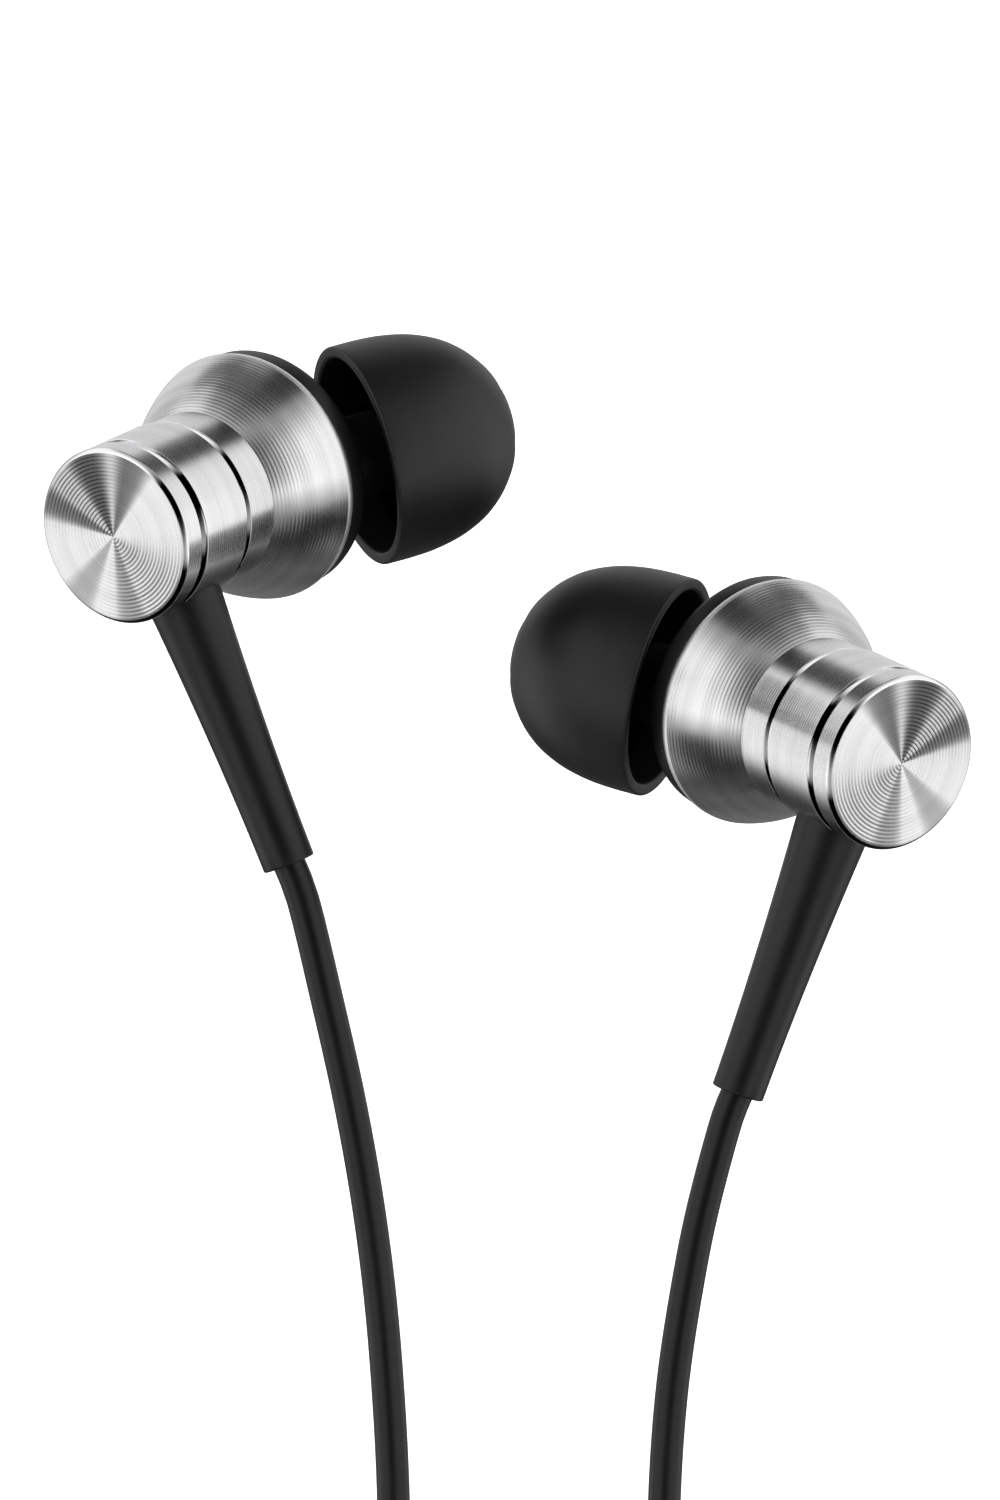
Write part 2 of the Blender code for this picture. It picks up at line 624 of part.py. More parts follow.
right_lower_route = [(remote_x, remote_y, remote_low),
                     (remote_x - 0.1 * MM, remote_y, remote_low - 2.0 * MM),
                     (7.0 * MM, -14.6 * MM, -96.2 * MM), (4.4 * MM, -14.6 * MM, -99.8 * MM),
                     (slider_right, slider_y, slider_top + 2.5 * MM),
                     (slider_right, slider_y, slider_top + 0.5 * MM),
                     (slider_right, slider_y, slider_top - 3.5 * MM),
                     (slider_right, slider_y, slider_low + 3.5 * MM),
                     (slider_right, slider_y, slider_low - 0.3 * MM),
                     (slider_right, slider_y, slider_low - 2.5 * MM),
                     (slider_right - 0.25 * MM, second_y + 0.1 * MM, join_z + 3.2 * MM),
                     (join_x, second_y, join_z)]
cord("left_cord", smooth_points(left_route, cord_step), cord_r, cord_jacket)
cord("right_upper_cord", smooth_points(right_upper_route, cord_step), cord_r, cord_jacket)
cord("right_lower_cord", smooth_points(right_lower_route, cord_step / 2), cord_r, cord_jacket)

# ---- hank, its tie and the splitter -------------------------------------------------------------


def stadium(radius, steps):
    upper = arc(0.0, hank_run / 2, radius, 0, 180, steps)
    lower = arc(0.0, -hank_run / 2, radius, 180, 360, steps)
    return upper + lower


upright_plane = Matrix.Rotation(math.radians(90), 4, "X")
outline_plate("cord_hank", [stadium(hank_r, 14), stadium(hank_slot_r, 8)], hank_depth, cord_jacket,
              at(hank_x, hank_y, hank_z) @ upright_plane)

main_route = [(plug_axis_x, hank_back_y + touch + cord_r, hank_z - 14.0 * MM),
              (plug_axis_x, hank_back_y + touch + cord_r, hank_z - 11.5 * MM),
              (plug_axis_x, plug_y, hank_z + plug_boot_z - 2.5 * MM),
              (plug_axis_x, plug_y, hank_z + plug_boot_z - touch)]
cord("main_cord", smooth_points(main_route, cord_step / 2), cord_r, cord_jacket)

half_hank = hank_r + tie_slack
tie_front, tie_back = hank_front_y - tie_slack, hank_back_y + tie_slack
plug_crown = plug_y + plug_r + tie_slack
crown_half = plug_r - 1.0 * MM
shoulder_half = plug_r + 1.2 * MM
shoulder_y = plug_crown - 1.4 * MM
tie_outline = [(hank_x - half_hank + tie_corner, tie_front), (hank_x + half_hank - tie_corner, tie_front),
               (hank_x + half_hank, tie_front + tie_corner), (hank_x + half_hank, tie_back - tie_corner),
               (hank_x + half_hank - tie_corner, tie_back), (plug_axis_x + shoulder_half, shoulder_y),
               (plug_axis_x + crown_half, plug_crown), (plug_axis_x - crown_half, plug_crown),
               (plug_axis_x - shoulder_half, shoulder_y), (hank_x - half_hank, tie_back - tie_corner),
               (hank_x - half_hank, tie_front + tie_corner)]


def band(name, outline, low, high, thickness, look):
    """A strap that follows an outline: an open wall with a thickness outwards."""
    count = len(outline)
    points = [(x, y, low) for x, y in outline] + [(x, y, high) for x, y in outline]
    walls = [(i, (i + 1) % count, (i + 1) % count + count, i + count) for i in range(count)]
    mesh = bpy.data.meshes.new(name)
    mesh.from_pydata(points, [], walls)
    made = put(mesh, name, look, Matrix.Identity(4))
    shell = made.modifiers.new("thickness", "SOLIDIFY")
    shell.thickness = thickness
    shell.offset = 1.0
    shell.use_even_offset = True
    return made


tie_low = hank_z + tie_lift - tie_height / 2
band("hank_tie", tie_outline, tie_low, tie_low + tie_height, tie_thickness, silicone)

splitter = at(hank_x + split_x, hank_front_y + turn_pitch, hank_z)
turned("y_splitter", [(0.0, split_length / 2), (split_tail_r, split_length / 2), (split_tail_r + 0.1 * MM,
                      split_length / 2 - 0.6 * MM), (split_r, -split_length / 2 + 4.0 * MM),
                      (split_r, -split_length / 2 + 0.4 * MM), (split_r - 0.4 * MM, -split_length / 2),
                      (0.0, -split_length / 2)], black_plastic, splitter, small_steps)

# ---- slider -------------------------------------------------------------------------------------
slider = block("cord_slider", slider_size, black_plastic, at(slider_x, slider_y, slider_z), 0.9 * MM)
for number, x in enumerate((slider_left, slider_right)):
    reach = slider_size[2]
    channel = turned(f"slider_channel_{number}", [(0.0, reach), (cord_r + running, reach),
                                                  (cord_r + running, -reach), (0.0, -reach)],
                     None, at(x, slider_y, slider_z), 16, cutter=True)
    boolean(slider, channel, "DIFFERENCE")

# ---- remote -------------------------------------------------------------------------------------
remote = at(remote_x, remote_y, remote_z)
width, depth, height = remote_size
button_width, button_height = button_size
front_face = -depth / 2
board_front = 0.1 * MM
face_inside = front_face + remote_wall
cavity_size = (width - 2 * remote_wall, depth - 2 * remote_wall, height - 2 * remote_wall)
for name, sign in (("remote_front_shell", -1), ("remote_back_shell", 1)):
    shell = block(name, remote_size, aluminium if sign < 0 else black_plastic, remote, remote_corner)
    away = block(name + "_other_half", (2 * width, depth, 2 * height), None,
                 remote @ at(0, -sign * (depth / 2 - fit / 2), 0), cutter=True)
    hollow = block(name + "_hollow", cavity_size, None, remote, cutter=True)
    boolean(shell, away, "DIFFERENCE")
    boolean(shell, hollow, "DIFFERENCE")
    if sign > 0:
        continue
    for i in (-1, 0, 1):
        window = block(f"button_window_{i + 1}", (button_width, depth, button_height), None,
                       remote @ at(0, front_face, i * button_pitch), button_corner, cutter=True)
        boolean(shell, window, "DIFFERENCE")
    port = turned("microphone_port", [(0.0, 2 * remote_wall), (microphone_hole_r, 2 * remote_wall),
                                      (microphone_hole_r, -2 * remote_wall), (0.0, -2 * remote_wall)], None,
                  remote @ at(0, front_face, microphone_z) @ Matrix.Rotation(math.radians(90), 4, "X"), 12,
                  cutter=True)
    boolean(shell, port, "DIFFERENCE")

flange_front = face_inside + fit
flange_back = flange_front + button_flange_height
for name, i in (("volume_up_button", 1), ("play_button", 0), ("volume_down_button", -1)):
    cap_back = flange_front + button_flange_height / 2
    cap_front = front_face - button_proud
    cap_depth = cap_back - cap_front
    middle = remote @ at(0, (cap_back + cap_front) / 2, i * button_pitch)
    button = block(name, (button_width - 2 * running, cap_depth, button_height - 2 * running), black_plastic,
                   middle, button_corner)
    flange = block(name + "_flange", (button_width + 2 * button_flange, button_flange_height,
                                      button_height + 2 * button_flange - 0.3 * MM), None,
                   remote @ at(0, (flange_front + flange_back) / 2, i * button_pitch), cutter=True)
    boolean(button, flange, "UNION")

board_size = (cavity_size[0] - 2 * running, remote_board_thickness, cavity_size[2] - 2 * running)
block("remote_board", board_size, board, remote @ at(0, board_front + remote_board_thickness / 2 + fit, 0))
to_front = Matrix.Rotation(math.radians(90), 4, "X")


for name, i in (("volume_up_switch", 1), ("play_switch", 0), ("volume_down_switch", -1)):
    disc(name, switch_r, switch_height, switch_height, steel,
         remote @ at(0, board_front, i * button_pitch) @ to_front, hole_steps)
disc("microphone", microphone_r, microphone_height, microphone_height, steel,
     remote @ at(0, board_front, microphone_z) @ to_front, hole_steps)

# ---- plug ---------------------------------------------------------------------------------------
plug = at(plug_axis_x, plug_y, hank_z + plug_boot_z)
turned("plug_boot", [(0.0, plug_boot_length), (plug_boot_top_r, plug_boot_length), (plug_boot_r, 0.0),
                     (0.0, 0.0)], silicone, plug, small_steps)
housing_low = plug_boot_length + fit
housing_top = housing_low + plug_length
seat_floor = housing_top - pin_seat
turned("plug_housing", [(0.0, seat_floor), (pin_r + fit, seat_floor), (pin_r + fit, housing_top),
                        (plug_r - plug_edge, housing_top), (plug_r, housing_top - plug_edge),
                        (plug_r, housing_low + plug_edge), (plug_r - plug_edge, housing_low),
                        (0.0, housing_low)],
       aluminium, plug, small_steps)
pole_low = seat_floor + fit
core_profile = [(0.0, pole_low)]
for name, length in (("plug_sleeve", pin_seat + sleeve_length), ("plug_ring_inner", ring_length),
                     ("plug_ring_outer", ring_length)):
    turned(name, [(pin_r, pole_low + length), (pin_r, pole_low), (pin_bore + fit, pole_low),
                  (pin_bore + fit, pole_low + length)], gold, plug, small_steps)
    flange_low, flange_top = pole_low + length + fit, pole_low + length + insulator - fit
    core_profile += [(pin_bore, pole_low), (pin_bore, flange_low), (pin_r, flange_low), (pin_r, flange_top)]
    pole_low += length + insulator
core_profile += [(0.0, core_profile[-1][1])]
turned("plug_insulator", core_profile[:0:-1] + [(0.0, core_profile[0][1])], black_plastic, plug, small_steps)
tip_top = pole_low + tip_pole_length
turned("plug_tip", [(0.0, tip_top), (0.6 * MM, tip_top - 0.15 * MM), (pin_r, tip_top - 1.6 * MM),
                    (tip_neck_r, tip_top - 2.5 * MM), (pin_r, tip_top - 3.3 * MM), (pin_r, pole_low),
                    (0.0, pole_low)],
       gold, plug, small_steps)
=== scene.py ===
"""Looks of the wired earphones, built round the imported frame. Metres, +Z up.

Each earpiece has its own frame: Z runs along its barrel from the end cap to the nozzle side, and -Y is the
way in which the cord leaves it.
"""

import json
import math

import bmesh
import bpy
from mathutils import Matrix, Vector


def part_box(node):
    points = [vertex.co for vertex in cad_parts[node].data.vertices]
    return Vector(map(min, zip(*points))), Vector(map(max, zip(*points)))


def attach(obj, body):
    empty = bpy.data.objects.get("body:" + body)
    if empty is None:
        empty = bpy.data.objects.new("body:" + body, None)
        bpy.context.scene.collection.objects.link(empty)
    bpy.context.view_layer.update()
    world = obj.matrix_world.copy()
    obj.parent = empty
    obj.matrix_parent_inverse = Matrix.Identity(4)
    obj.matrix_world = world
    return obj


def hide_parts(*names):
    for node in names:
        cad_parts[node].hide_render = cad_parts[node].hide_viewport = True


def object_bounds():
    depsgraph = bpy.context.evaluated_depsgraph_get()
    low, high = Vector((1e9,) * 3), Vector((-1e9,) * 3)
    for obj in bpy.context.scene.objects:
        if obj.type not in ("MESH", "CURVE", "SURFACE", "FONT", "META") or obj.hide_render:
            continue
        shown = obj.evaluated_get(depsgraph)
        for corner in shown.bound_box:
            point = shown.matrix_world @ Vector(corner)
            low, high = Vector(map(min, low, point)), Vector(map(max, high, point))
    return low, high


MM = 0.001

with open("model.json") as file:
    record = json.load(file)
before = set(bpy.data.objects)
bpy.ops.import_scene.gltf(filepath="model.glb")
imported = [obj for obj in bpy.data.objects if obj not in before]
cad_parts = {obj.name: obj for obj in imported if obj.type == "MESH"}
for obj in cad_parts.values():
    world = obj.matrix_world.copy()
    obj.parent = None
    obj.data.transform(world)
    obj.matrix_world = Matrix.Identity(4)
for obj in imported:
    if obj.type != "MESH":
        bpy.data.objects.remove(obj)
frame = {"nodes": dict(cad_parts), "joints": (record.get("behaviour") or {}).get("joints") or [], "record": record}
nodes = frame["nodes"]
cad_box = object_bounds()
scene = bpy.context.scene

# ---- sizes --------------------------------------------------------------------------------------
barrel_r = 5.04 * MM
cap_length = 1.48 * MM
cap_chamfer = 0.22 * MM
groove_width = 0.54 * MM
groove_r = 4.74 * MM
groove_2_z = 5.67 * MM
neck_r = 4.90 * MM
flare_z = 8.3 * MM
bell_z = 12.28 * MM
bell_r = 7.04 * MM
bell_swing = 12.5            # degrees from the chord to the tangent, at each end of the flare
spigot_r = 4.15 * MM         # of the end cap, inside the barrel
barrel_bore = 4.2 * MM
bell_bore = 6.45 * MM
ring_pitch = 0.22 * MM       # between the tool marks on the cap's face and on the bell
face_mark = 0.026 * MM       # how far a tool mark stands out
bell_mark = 0.008 * MM
band_pitch = 0.2 * MM
band_mark = 0.004 * MM
edge_break = 0.03 * MM       # the fine chamfer on each edge of a groove
rim_z = 12.91 * MM
rim_chamfer = 0.14 * MM
land_bulge = 0.05 * MM
front_r = 6.9 * MM
front_spigot_r = 6.4 * MM    # of the front housing, inside the bell
front_z = 12.96 * MM
ring_top = 14.26 * MM
dome_height = 1.5 * MM
nozzle_r = 2.3 * MM
nozzle_lip_r = 2.48 * MM
nozzle_root_r = 3.5 * MM
nozzle_bore_r = 1.75 * MM
mesh_seat_r = 2.05 * MM
nozzle_reach = 6.1 * MM      # the nozzle's end, from the ear tip's skirt edge
tip_seat = 6.8 * MM          # from the nozzle's pivot to the ear tip's skirt edge
tip_r = 6.28 * MM
tip_length = 8.8 * MM
tip_lip = 0.68 * MM
tip_bore = 1.95 * MM
core_r = 3.25 * MM           # the ear tip's core, which grips the nozzle
core_inner_r = 2.62 * MM
core_low = 1.1 * MM          # from the skirt's edge to the core's
boot_z = 3.67 * MM
boot_end = 20.6 * MM
boot_top_r = 2.1 * MM
boot_end_r = 1.485 * MM
boot_top = -4.3 * MM         # from the barrel's axis, just inside the barrel's wall
boot_waist = 1.7             # how early the boot narrows: 1 is a straight taper
cord_r = 0.925 * MM
cord_gap = 0.15 * MM         # from a cord's end to the piece that it enters
root = "earpieces_and_cord"

# ---- camera -------------------------------------------------------------------------------------
view_elevation = math.radians(10.0)
view_height = 84.0 * MM      # how much of the object the picture's long side takes in
view_distance = 1.3
view_right = Vector((1.0, 0.0, 0.0))
view_up = Vector((0.0, math.sin(view_elevation), math.cos(view_elevation)))
view_back = Vector((0.0, -math.cos(view_elevation), math.sin(view_elevation)))
view_centre = -0.71 * MM * view_right - 12.15 * MM * view_up

camera_data = bpy.data.cameras.new("camera")
camera_data.sensor_width = 36.0
camera_data.lens = camera_data.sensor_width * view_distance / view_height
camera_data.clip_start = 0.05
camera_data.clip_end = 30.0
camera = bpy.data.objects.new("camera", camera_data)
camera.matrix_world = (Matrix.Translation(view_centre + view_distance * view_back)
                       @ Matrix((view_right, view_up, view_back)).transposed().to_4x4())
scene.collection.objects.link(camera)
scene.camera = camera
scene.view_settings.view_transform = "Standard"


# ---- materials ----------------------------------------------------------------------------------
def add(tree, kind, inputs=None, **fields):
    """Adds a shader node. An input is a value, or a socket to link."""
    made = tree.nodes.new(kind)
    for field, value in fields.items():
        setattr(made, field, value)
    for key, value in (inputs or {}).items():
        if isinstance(value, bpy.types.NodeSocket):
            tree.links.new(value, made.inputs[key])
        else:
            made.inputs[key].default_value = value
    return made


def calc(tree, operation, *values):
    return add(tree, "ShaderNodeMath", dict(enumerate(values)), operation=operation).outputs[0]


def facing(tree, way, towards, outer, inner):
    """1 where the two directions are within the inner angle, and 0 past the outer one, in degrees."""
    aligned = add(tree, "ShaderNodeVectorMath", {0: way, 1: tuple(towards)}, operation="DOT_PRODUCT")
    return add(tree, "ShaderNodeMapRange", {"Value": aligned.outputs["Value"],
                                            "From Min": math.cos(math.radians(outer)),
                                            "From Max": math.cos(math.radians(inner))},
               interpolation_type="SMOOTHSTEP").outputs["Result"]


def noise(tree, coordinates, scale, detail=2.0, roughness=0.5):
    return add(tree, "ShaderNodeTexNoise", {"Vector": coordinates, "Scale": scale, "Detail": detail,
                                            "Roughness": roughness}).outputs["Fac"]


def line_noise(tree, along, scale):
    """Noise that changes along one length only, as the marks of a lathe tool do."""
    return add(tree, "ShaderNodeTexNoise", {"W": along, "Scale": scale, "Detail": 1.0},
               noise_dimensions="1D").outputs["Fac"]


def ramp(tree, value, low, high, start=0.0, end=1.0):
    return add(tree, "ShaderNodeMapRange", {"Value": value, "From Min": low, "From Max": high,
                                            "To Min": start, "To Max": end}).outputs["Result"]


def grey_mix(tree, share, dark, light):
    mixed = add(tree, "ShaderNodeMix", {"Factor": share}, data_type="RGBA")
    mixed.inputs["A"].default_value = (*dark, 1.0)
    mixed.inputs["B"].default_value = (*light, 1.0)
    return mixed.outputs["Result"]


def new_material(name):
    made = bpy.data.materials.new(name)
    made.use_nodes = True
    tree = made.node_tree
    return made, tree, tree.nodes["Principled BSDF"]


def bump(tree, height, distance):
    return add(tree, "ShaderNodeBump", {"Height": height, "Distance": distance,
                                        "Strength": 1.0}).outputs["Normal"]


def turned_metal(name, roughness, spread, anisotropy, depth, tone=0.82):
    """Aluminium from a lathe: fine circular marks, and highlights that stretch across them."""
    made, tree, shader = new_material(name)
    along = add(tree, "ShaderNodeAttribute", attribute_name="run").outputs["Fac"]
    place = add(tree, "ShaderNodeTexCoord").outputs["Object"]
    marks = line_noise(tree, along, 7000.0)
    bands = line_noise(tree, along, 1500.0)
    cloud = noise(tree, place, 220.0, 3.0)
    dark = (tone * 0.93, tone * 0.93, tone * 0.94)
    light = (tone * 1.05, tone * 1.05, tone * 1.055)
    tree.links.new(grey_mix(tree, ramp(tree, bands, 0.3, 0.7), dark, light), shader.inputs["Base Color"])
    uneven = calc(tree, "ADD", marks, cloud)
    tree.links.new(ramp(tree, uneven, 0.7, 1.3, roughness - spread, roughness + spread),
                   shader.inputs["Roughness"])
    tree.links.new(bump(tree, marks, depth), shader.inputs["Normal"])
    shader.inputs["Metallic"].default_value = 1.0
    if anisotropy:
        shader.inputs["Anisotropic"].default_value = anisotropy
        shader.inputs["Anisotropic Rotation"].default_value = 0.25      # a quarter turn: across the marks
        round_axis = add(tree, "ShaderNodeTangent", direction_type="RADIAL", axis="Z")
        tree.links.new(round_axis.outputs["Tangent"], shader.inputs["Tangent"])
    return made


def soft_black(name, tone, roughness, spread, grain, depth, specular=0.5):
    """Silicone, moulded plastic or cord jacket: a fine grain, and a sheen that varies a little."""
    made, tree, shader = new_material(name)
    place = add(tree, "ShaderNodeTexCoord").outputs["Object"]
    fine = noise(tree, place, grain, 2.0)
    cloud = noise(tree, place, 260.0, 4.0, 0.6)
    dark = (tone * 0.8, tone * 0.8, tone * 0.83)
    light = (tone * 1.25, tone * 1.25, tone * 1.27)
    tree.links.new(grey_mix(tree, cloud, dark, light), shader.inputs["Base Color"])
    tree.links.new(ramp(tree, cloud, 0.3, 0.7, roughness - spread, roughness + spread),
                   shader.inputs["Roughness"])
    tree.links.new(bump(tree, fine, depth), shader.inputs["Normal"])
    shader.inputs["Specular IOR Level"].default_value = specular
    return made


def grained(name, dark, light, roughness, metallic, grain, depth):
    """A plain material of an inner or small piece, with a grain in its colour and surface."""
    made, tree, shader = new_material(name)
    place = add(tree, "ShaderNodeTexCoord").outputs["Object"]
    fine = noise(tree, place, grain, 3.0)
    cloud = noise(tree, place, grain / 12, 3.0)
    tree.links.new(grey_mix(tree, cloud, dark, light), shader.inputs["Base Color"])
    tree.links.new(ramp(tree, fine, 0.3, 0.7, roughness - 0.06, roughness + 0.06), shader.inputs["Roughness"])
    tree.links.new(bump(tree, fine, depth), shader.inputs["Normal"])
    shader.inputs["Metallic"].default_value = metallic
    return made


def round_way(tree):
    """The direction of a point round the barrel's axis, the same way round on both earpieces."""
    place = add(tree, "ShaderNodeTexCoord").outputs["Object"]
    hand = add(tree, "ShaderNodeAttribute", attribute_name="hand").outputs["Fac"]
    split = add(tree, "ShaderNodeSeparateXYZ", {0: place}).outputs
    sideways = calc(tree, "MULTIPLY", split[0], hand)
    flat = add(tree, "ShaderNodeCombineXYZ", {"X": sideways, "Y": split[1]}).outputs[0]
    return add(tree, "ShaderNodeVectorMath", {0: flat}, operation="NORMALIZE").outputs[0]


def spoke(degrees):
    """The direction at an angle round the barrel's axis."""
    return math.cos(math.radians(degrees)), math.sin(math.radians(degrees)), 0.0


def groove_painted_light_metal():
    """The floor of a groove: polished, near black as painted shade, with painted highlights in stretches round the
    barrel.
    """
    made = turned_metal("groove_painted_light_metal", 0.12, 0.02, 0.0, 0.05e-6)
    tree = made.node_tree
    way = round_way(tree)
    share = None
    for middle, outer, inner in groove_painted_highlights:
        painted_bright = facing(tree, way, spoke(middle), outer, inner)
        share = painted_bright if share is None else calc(tree, "MAXIMUM", share, painted_bright)
    # Painted shade and painted highlights: near black, and near white where the groove's painted highlights lie.
    tree.links.new(grey_mix(tree, share, (0.006, 0.006, 0.006), (0.93, 0.93, 0.94)),
                   tree.nodes["Principled BSDF"].inputs["Base Color"])
    return made


def with_painted_wedges(made, painted_wedges):
    """Paints dark wedges into the base colour round the barrel: a painted reflection, standing in for the way fine
    turned rings gather the light into wedges.
    """
    tree = made.node_tree
    shader = tree.nodes["Principled BSDF"]
    way = round_way(tree)
    painted_tint = shader.inputs["Base Color"].links[0].from_socket
    for middle, outer, inner, tone in painted_wedges:
        share = facing(tree, way, spoke(middle), outer, inner)
        level = add(tree, "ShaderNodeMix", {"Factor": share, "A": 1.0, "B": tone}).outputs["Result"]
        painted_tint = add(tree, "ShaderNodeVectorMath", {0: painted_tint, "Scale": level}, operation="SCALE").outputs[0]
    tree.links.new(painted_tint, shader.inputs["Base Color"])
    return made


# Painted highlights of a groove: their middle round the barrel, then their outer and inner half width.
groove_painted_highlights = [(86.0, 74.0, 66.0), (199.0, 20.0, 6.0)]

# Dark wedges of painted reflection: their middle round the barrel, outer and inner half width, and tone.
face_painted_wedges = [(92.0, 22.0, 2.0, 0.20), (134.0, 19.0, 2.0, 0.26), (41.0, 15.0, 1.0, 0.30),
                (62.0, 40.0, 10.0, 0.78), (112.0, 30.0, 10.0, 0.72), (328.0, 17.0, 1.0, 0.52),
                (281.0, 16.0, 1.0, 0.50)]
band_painted_wedges = [(240.0, 30.0, 6.0, 0.55)]
bell_painted_wedges = [(219.0, 27.0, 4.0, 0.34), (262.0, 36.0, 10.0, 0.72)]

# The cap's face, the band and the bell get dark wedges of painted reflection in their base colour.
# name, roughness, its spread, anisotropy, depth of the marks in metres, tone
face_metal = with_painted_wedges(turned_metal("face_metal", 0.27, 0.03, 0.93, 0.4e-6), face_painted_wedges)
band_metal = with_painted_wedges(turned_metal("band_metal", 0.26, 0.02, 0.75, 0.25e-6), band_painted_wedges)
bell_metal = with_painted_wedges(turned_metal("bell_metal", 0.26, 0.02, 0.7, 0.25e-6), bell_painted_wedges)
groove_floor_painted = groove_painted_light_metal()
rim_metal = turned_metal("rim_metal", 0.48, 0.02, 0.0, 0.1e-6, 0.97)
polished_metal = turned_metal("polished_metal", 0.07, 0.02, 0.0, 0.05e-6, 0.88)

# name, tone, roughness, its spread, grains in a metre, their depth in metres, specular level
tip_silicone = soft_black("tip_silicone", 0.007, 0.46, 0.03, 9000.0, 1.0e-6, 0.50)
# Painted shade: the ear tip's inside is darker than its outside and has no specular.
tip_inside_painted_shade = soft_black("tip_inside_painted_shade", 0.002, 0.7, 0.03, 9000.0, 1.0e-6, 0.0)
boot_silicone = soft_black("boot_silicone", 0.005, 0.38, 0.03, 12000.0, 1.0e-6, 0.40)
moulded = soft_black("moulded_plastic", 0.008, 0.42, 0.04, 14000.0, 1.6e-6, 0.4)
jacket = soft_black("cord_jacket", 0.005, 0.36, 0.03, 11000.0, 1.0e-6, 0.36)
strap = soft_black("strap", 0.016, 0.7, 0.05, 5000.0, 12e-6)

# name, dark and light colour, roughness, metallic, grains in a metre, their depth in metres
steel = grained("steel", (0.5, 0.5, 0.52), (0.66, 0.66, 0.68), 0.3, 1.0, 9000.0, 1e-6)
satin_metal = grained("satin_metal", (0.66, 0.66, 0.67), (0.78, 0.78, 0.79), 0.34, 1.0, 14000.0, 0.8e-6)
magnet_metal = grained("magnet_metal", (0.42, 0.42, 0.44), (0.55, 0.55, 0.57), 0.36, 1.0, 7000.0, 1e-6)
copper = grained("copper", (0.55, 0.24, 0.1), (0.75, 0.38, 0.17), 0.32, 1.0, 9000.0, 4e-6)
film = grained("film", (0.4, 0.42, 0.45), (0.5, 0.52, 0.55), 0.28, 0.8, 6000.0, 1e-6)
board = grained("board", (0.01, 0.12, 0.05), (0.03, 0.2, 0.09), 0.5, 0.0, 5000.0, 6e-6)
felt = grained("felt", (0.6, 0.6, 0.57), (0.8, 0.8, 0.77), 0.92, 0.0, 6000.0, 30e-6)
gold = grained("gold", (0.75, 0.52, 0.22), (0.88, 0.66, 0.32), 0.2, 1.0, 6000.0, 0.5e-6)
brass = grained("brass", (0.66, 0.5, 0.26), (0.8, 0.64, 0.36), 0.34, 1.0, 6000.0, 1e-6)


# ---- mesh helpers -------------------------------------------------------------------------------
POINT_R = 1e-7               # a ring with a smaller radius is one point
ROUND_STEPS = 5              # edges in a rounded corner
CURVE_STEPS = 24             # samples between two knots of a curve
STEPS_PER_MARK = 6
MARK_RISE = 0.25             # the share of a tool mark that rises


def on_body(made, body, slot, *stands_for):
    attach(made, body)
    if stands_for:
        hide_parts(*stands_for)
    return made


def lathe(name, profile, looks, place, steps=192, sharp=32.0, hand=1.0):
    """Turns a profile round Z. A point is (radius, height) or (radius, height, look of the run after it).

    The attribute run is the distance along the profile, and hand is -1 on a mirrored earpiece. Corners
    sharper than the limit stay crisp.
    """
    mesh = bmesh.new()
    run = mesh.verts.layers.float.new("run")
    handed = mesh.verts.layers.float.new("hand")
    rings = []
    looks_of = []
    length = 0.0
    before = None
    for entry in profile:
        radius, height = entry[0], entry[1]
        looks_of.append(entry[2] if len(entry) > 2 else (looks_of[-1] if looks_of else 0))
        if before is not None:
            length += math.hypot(radius - before[0], height - before[1])
        before = (radius, height)
        count = steps if radius > POINT_R else 1
        ring = []
        for i in range(count):
            turn = 2 * math.pi * i / steps
            vert = mesh.verts.new((radius * math.cos(turn), radius * math.sin(turn), height))
            vert[run] = length
            vert[handed] = hand
            ring.append(vert)
        rings.append(ring)
    for number, (a, b) in enumerate(zip(rings, rings[1:])):
        if len(a) == 1 and len(b) == 1:
            continue
        for i in range(steps):
            j = (i + 1) % steps
            if len(a) == 1:
                corners = (a[0], b[j], b[i])
            elif len(b) == 1:
                corners = (a[i], a[j], b[0])
            else:
                corners = (a[i], a[j], b[j], b[i])
            face = mesh.faces.new(corners)
            face.smooth = True
            face.material_index = looks_of[number]
    for before, here, after, ring in zip(profile, profile[1:], profile[2:], rings[1:]):
        one = math.atan2(here[1] - before[1], here[0] - before[0])
        two = math.atan2(after[1] - here[1], after[0] - here[0])
        bend = abs((two - one + math.pi) % (2 * math.pi) - math.pi)
        if len(ring) > 1 and math.degrees(bend) > sharp:
            for i in range(steps):
                edge = mesh.edges.get((ring[i], ring[(i + 1) % steps]))
                if edge:
                    edge.smooth = False
    bmesh.ops.recalc_face_normals(mesh, faces=mesh.faces)
    data = bpy.data.meshes.new(name)
    mesh.to_mesh(data)
    mesh.free()
    for look in looks:
        data.materials.append(look)
    made = bpy.data.objects.new(name, data)
    made.matrix_world = place
    scene.collection.objects.link(made)
    return made


def rounded(points):
    """A profile with its corners rounded. A point is (radius, height, corner radius)."""
    made = []
    for i, (x, y, corner) in enumerate(points):
        if not corner or i in (0, len(points) - 1):
            made.append((x, y))
            continue
        here = Vector((x, y))
        back = (Vector(points[i - 1][:2]) - here)
        ahead = (Vector(points[i + 1][:2]) - here)
        half = back.angle(ahead) / 2
        reach = min(corner / math.tan(half), 0.49 * back.length, 0.49 * ahead.length)
        size = reach * math.tan(half)
        start = here + reach * back.normalized()
        end = here + reach * ahead.normalized()
        middle = here + (back.normalized() + ahead.normalized()).normalized() * (size / math.sin(half))
        one, two = start - middle, end - middle
        swing = one.angle_signed(two)
        for k in range(ROUND_STEPS + 1):
            turn = -swing * k / ROUND_STEPS
            made.append((middle.x + one.x * math.cos(turn) - one.y * math.sin(turn),
                         middle.y + one.x * math.sin(turn) + one.y * math.cos(turn)))
    return made


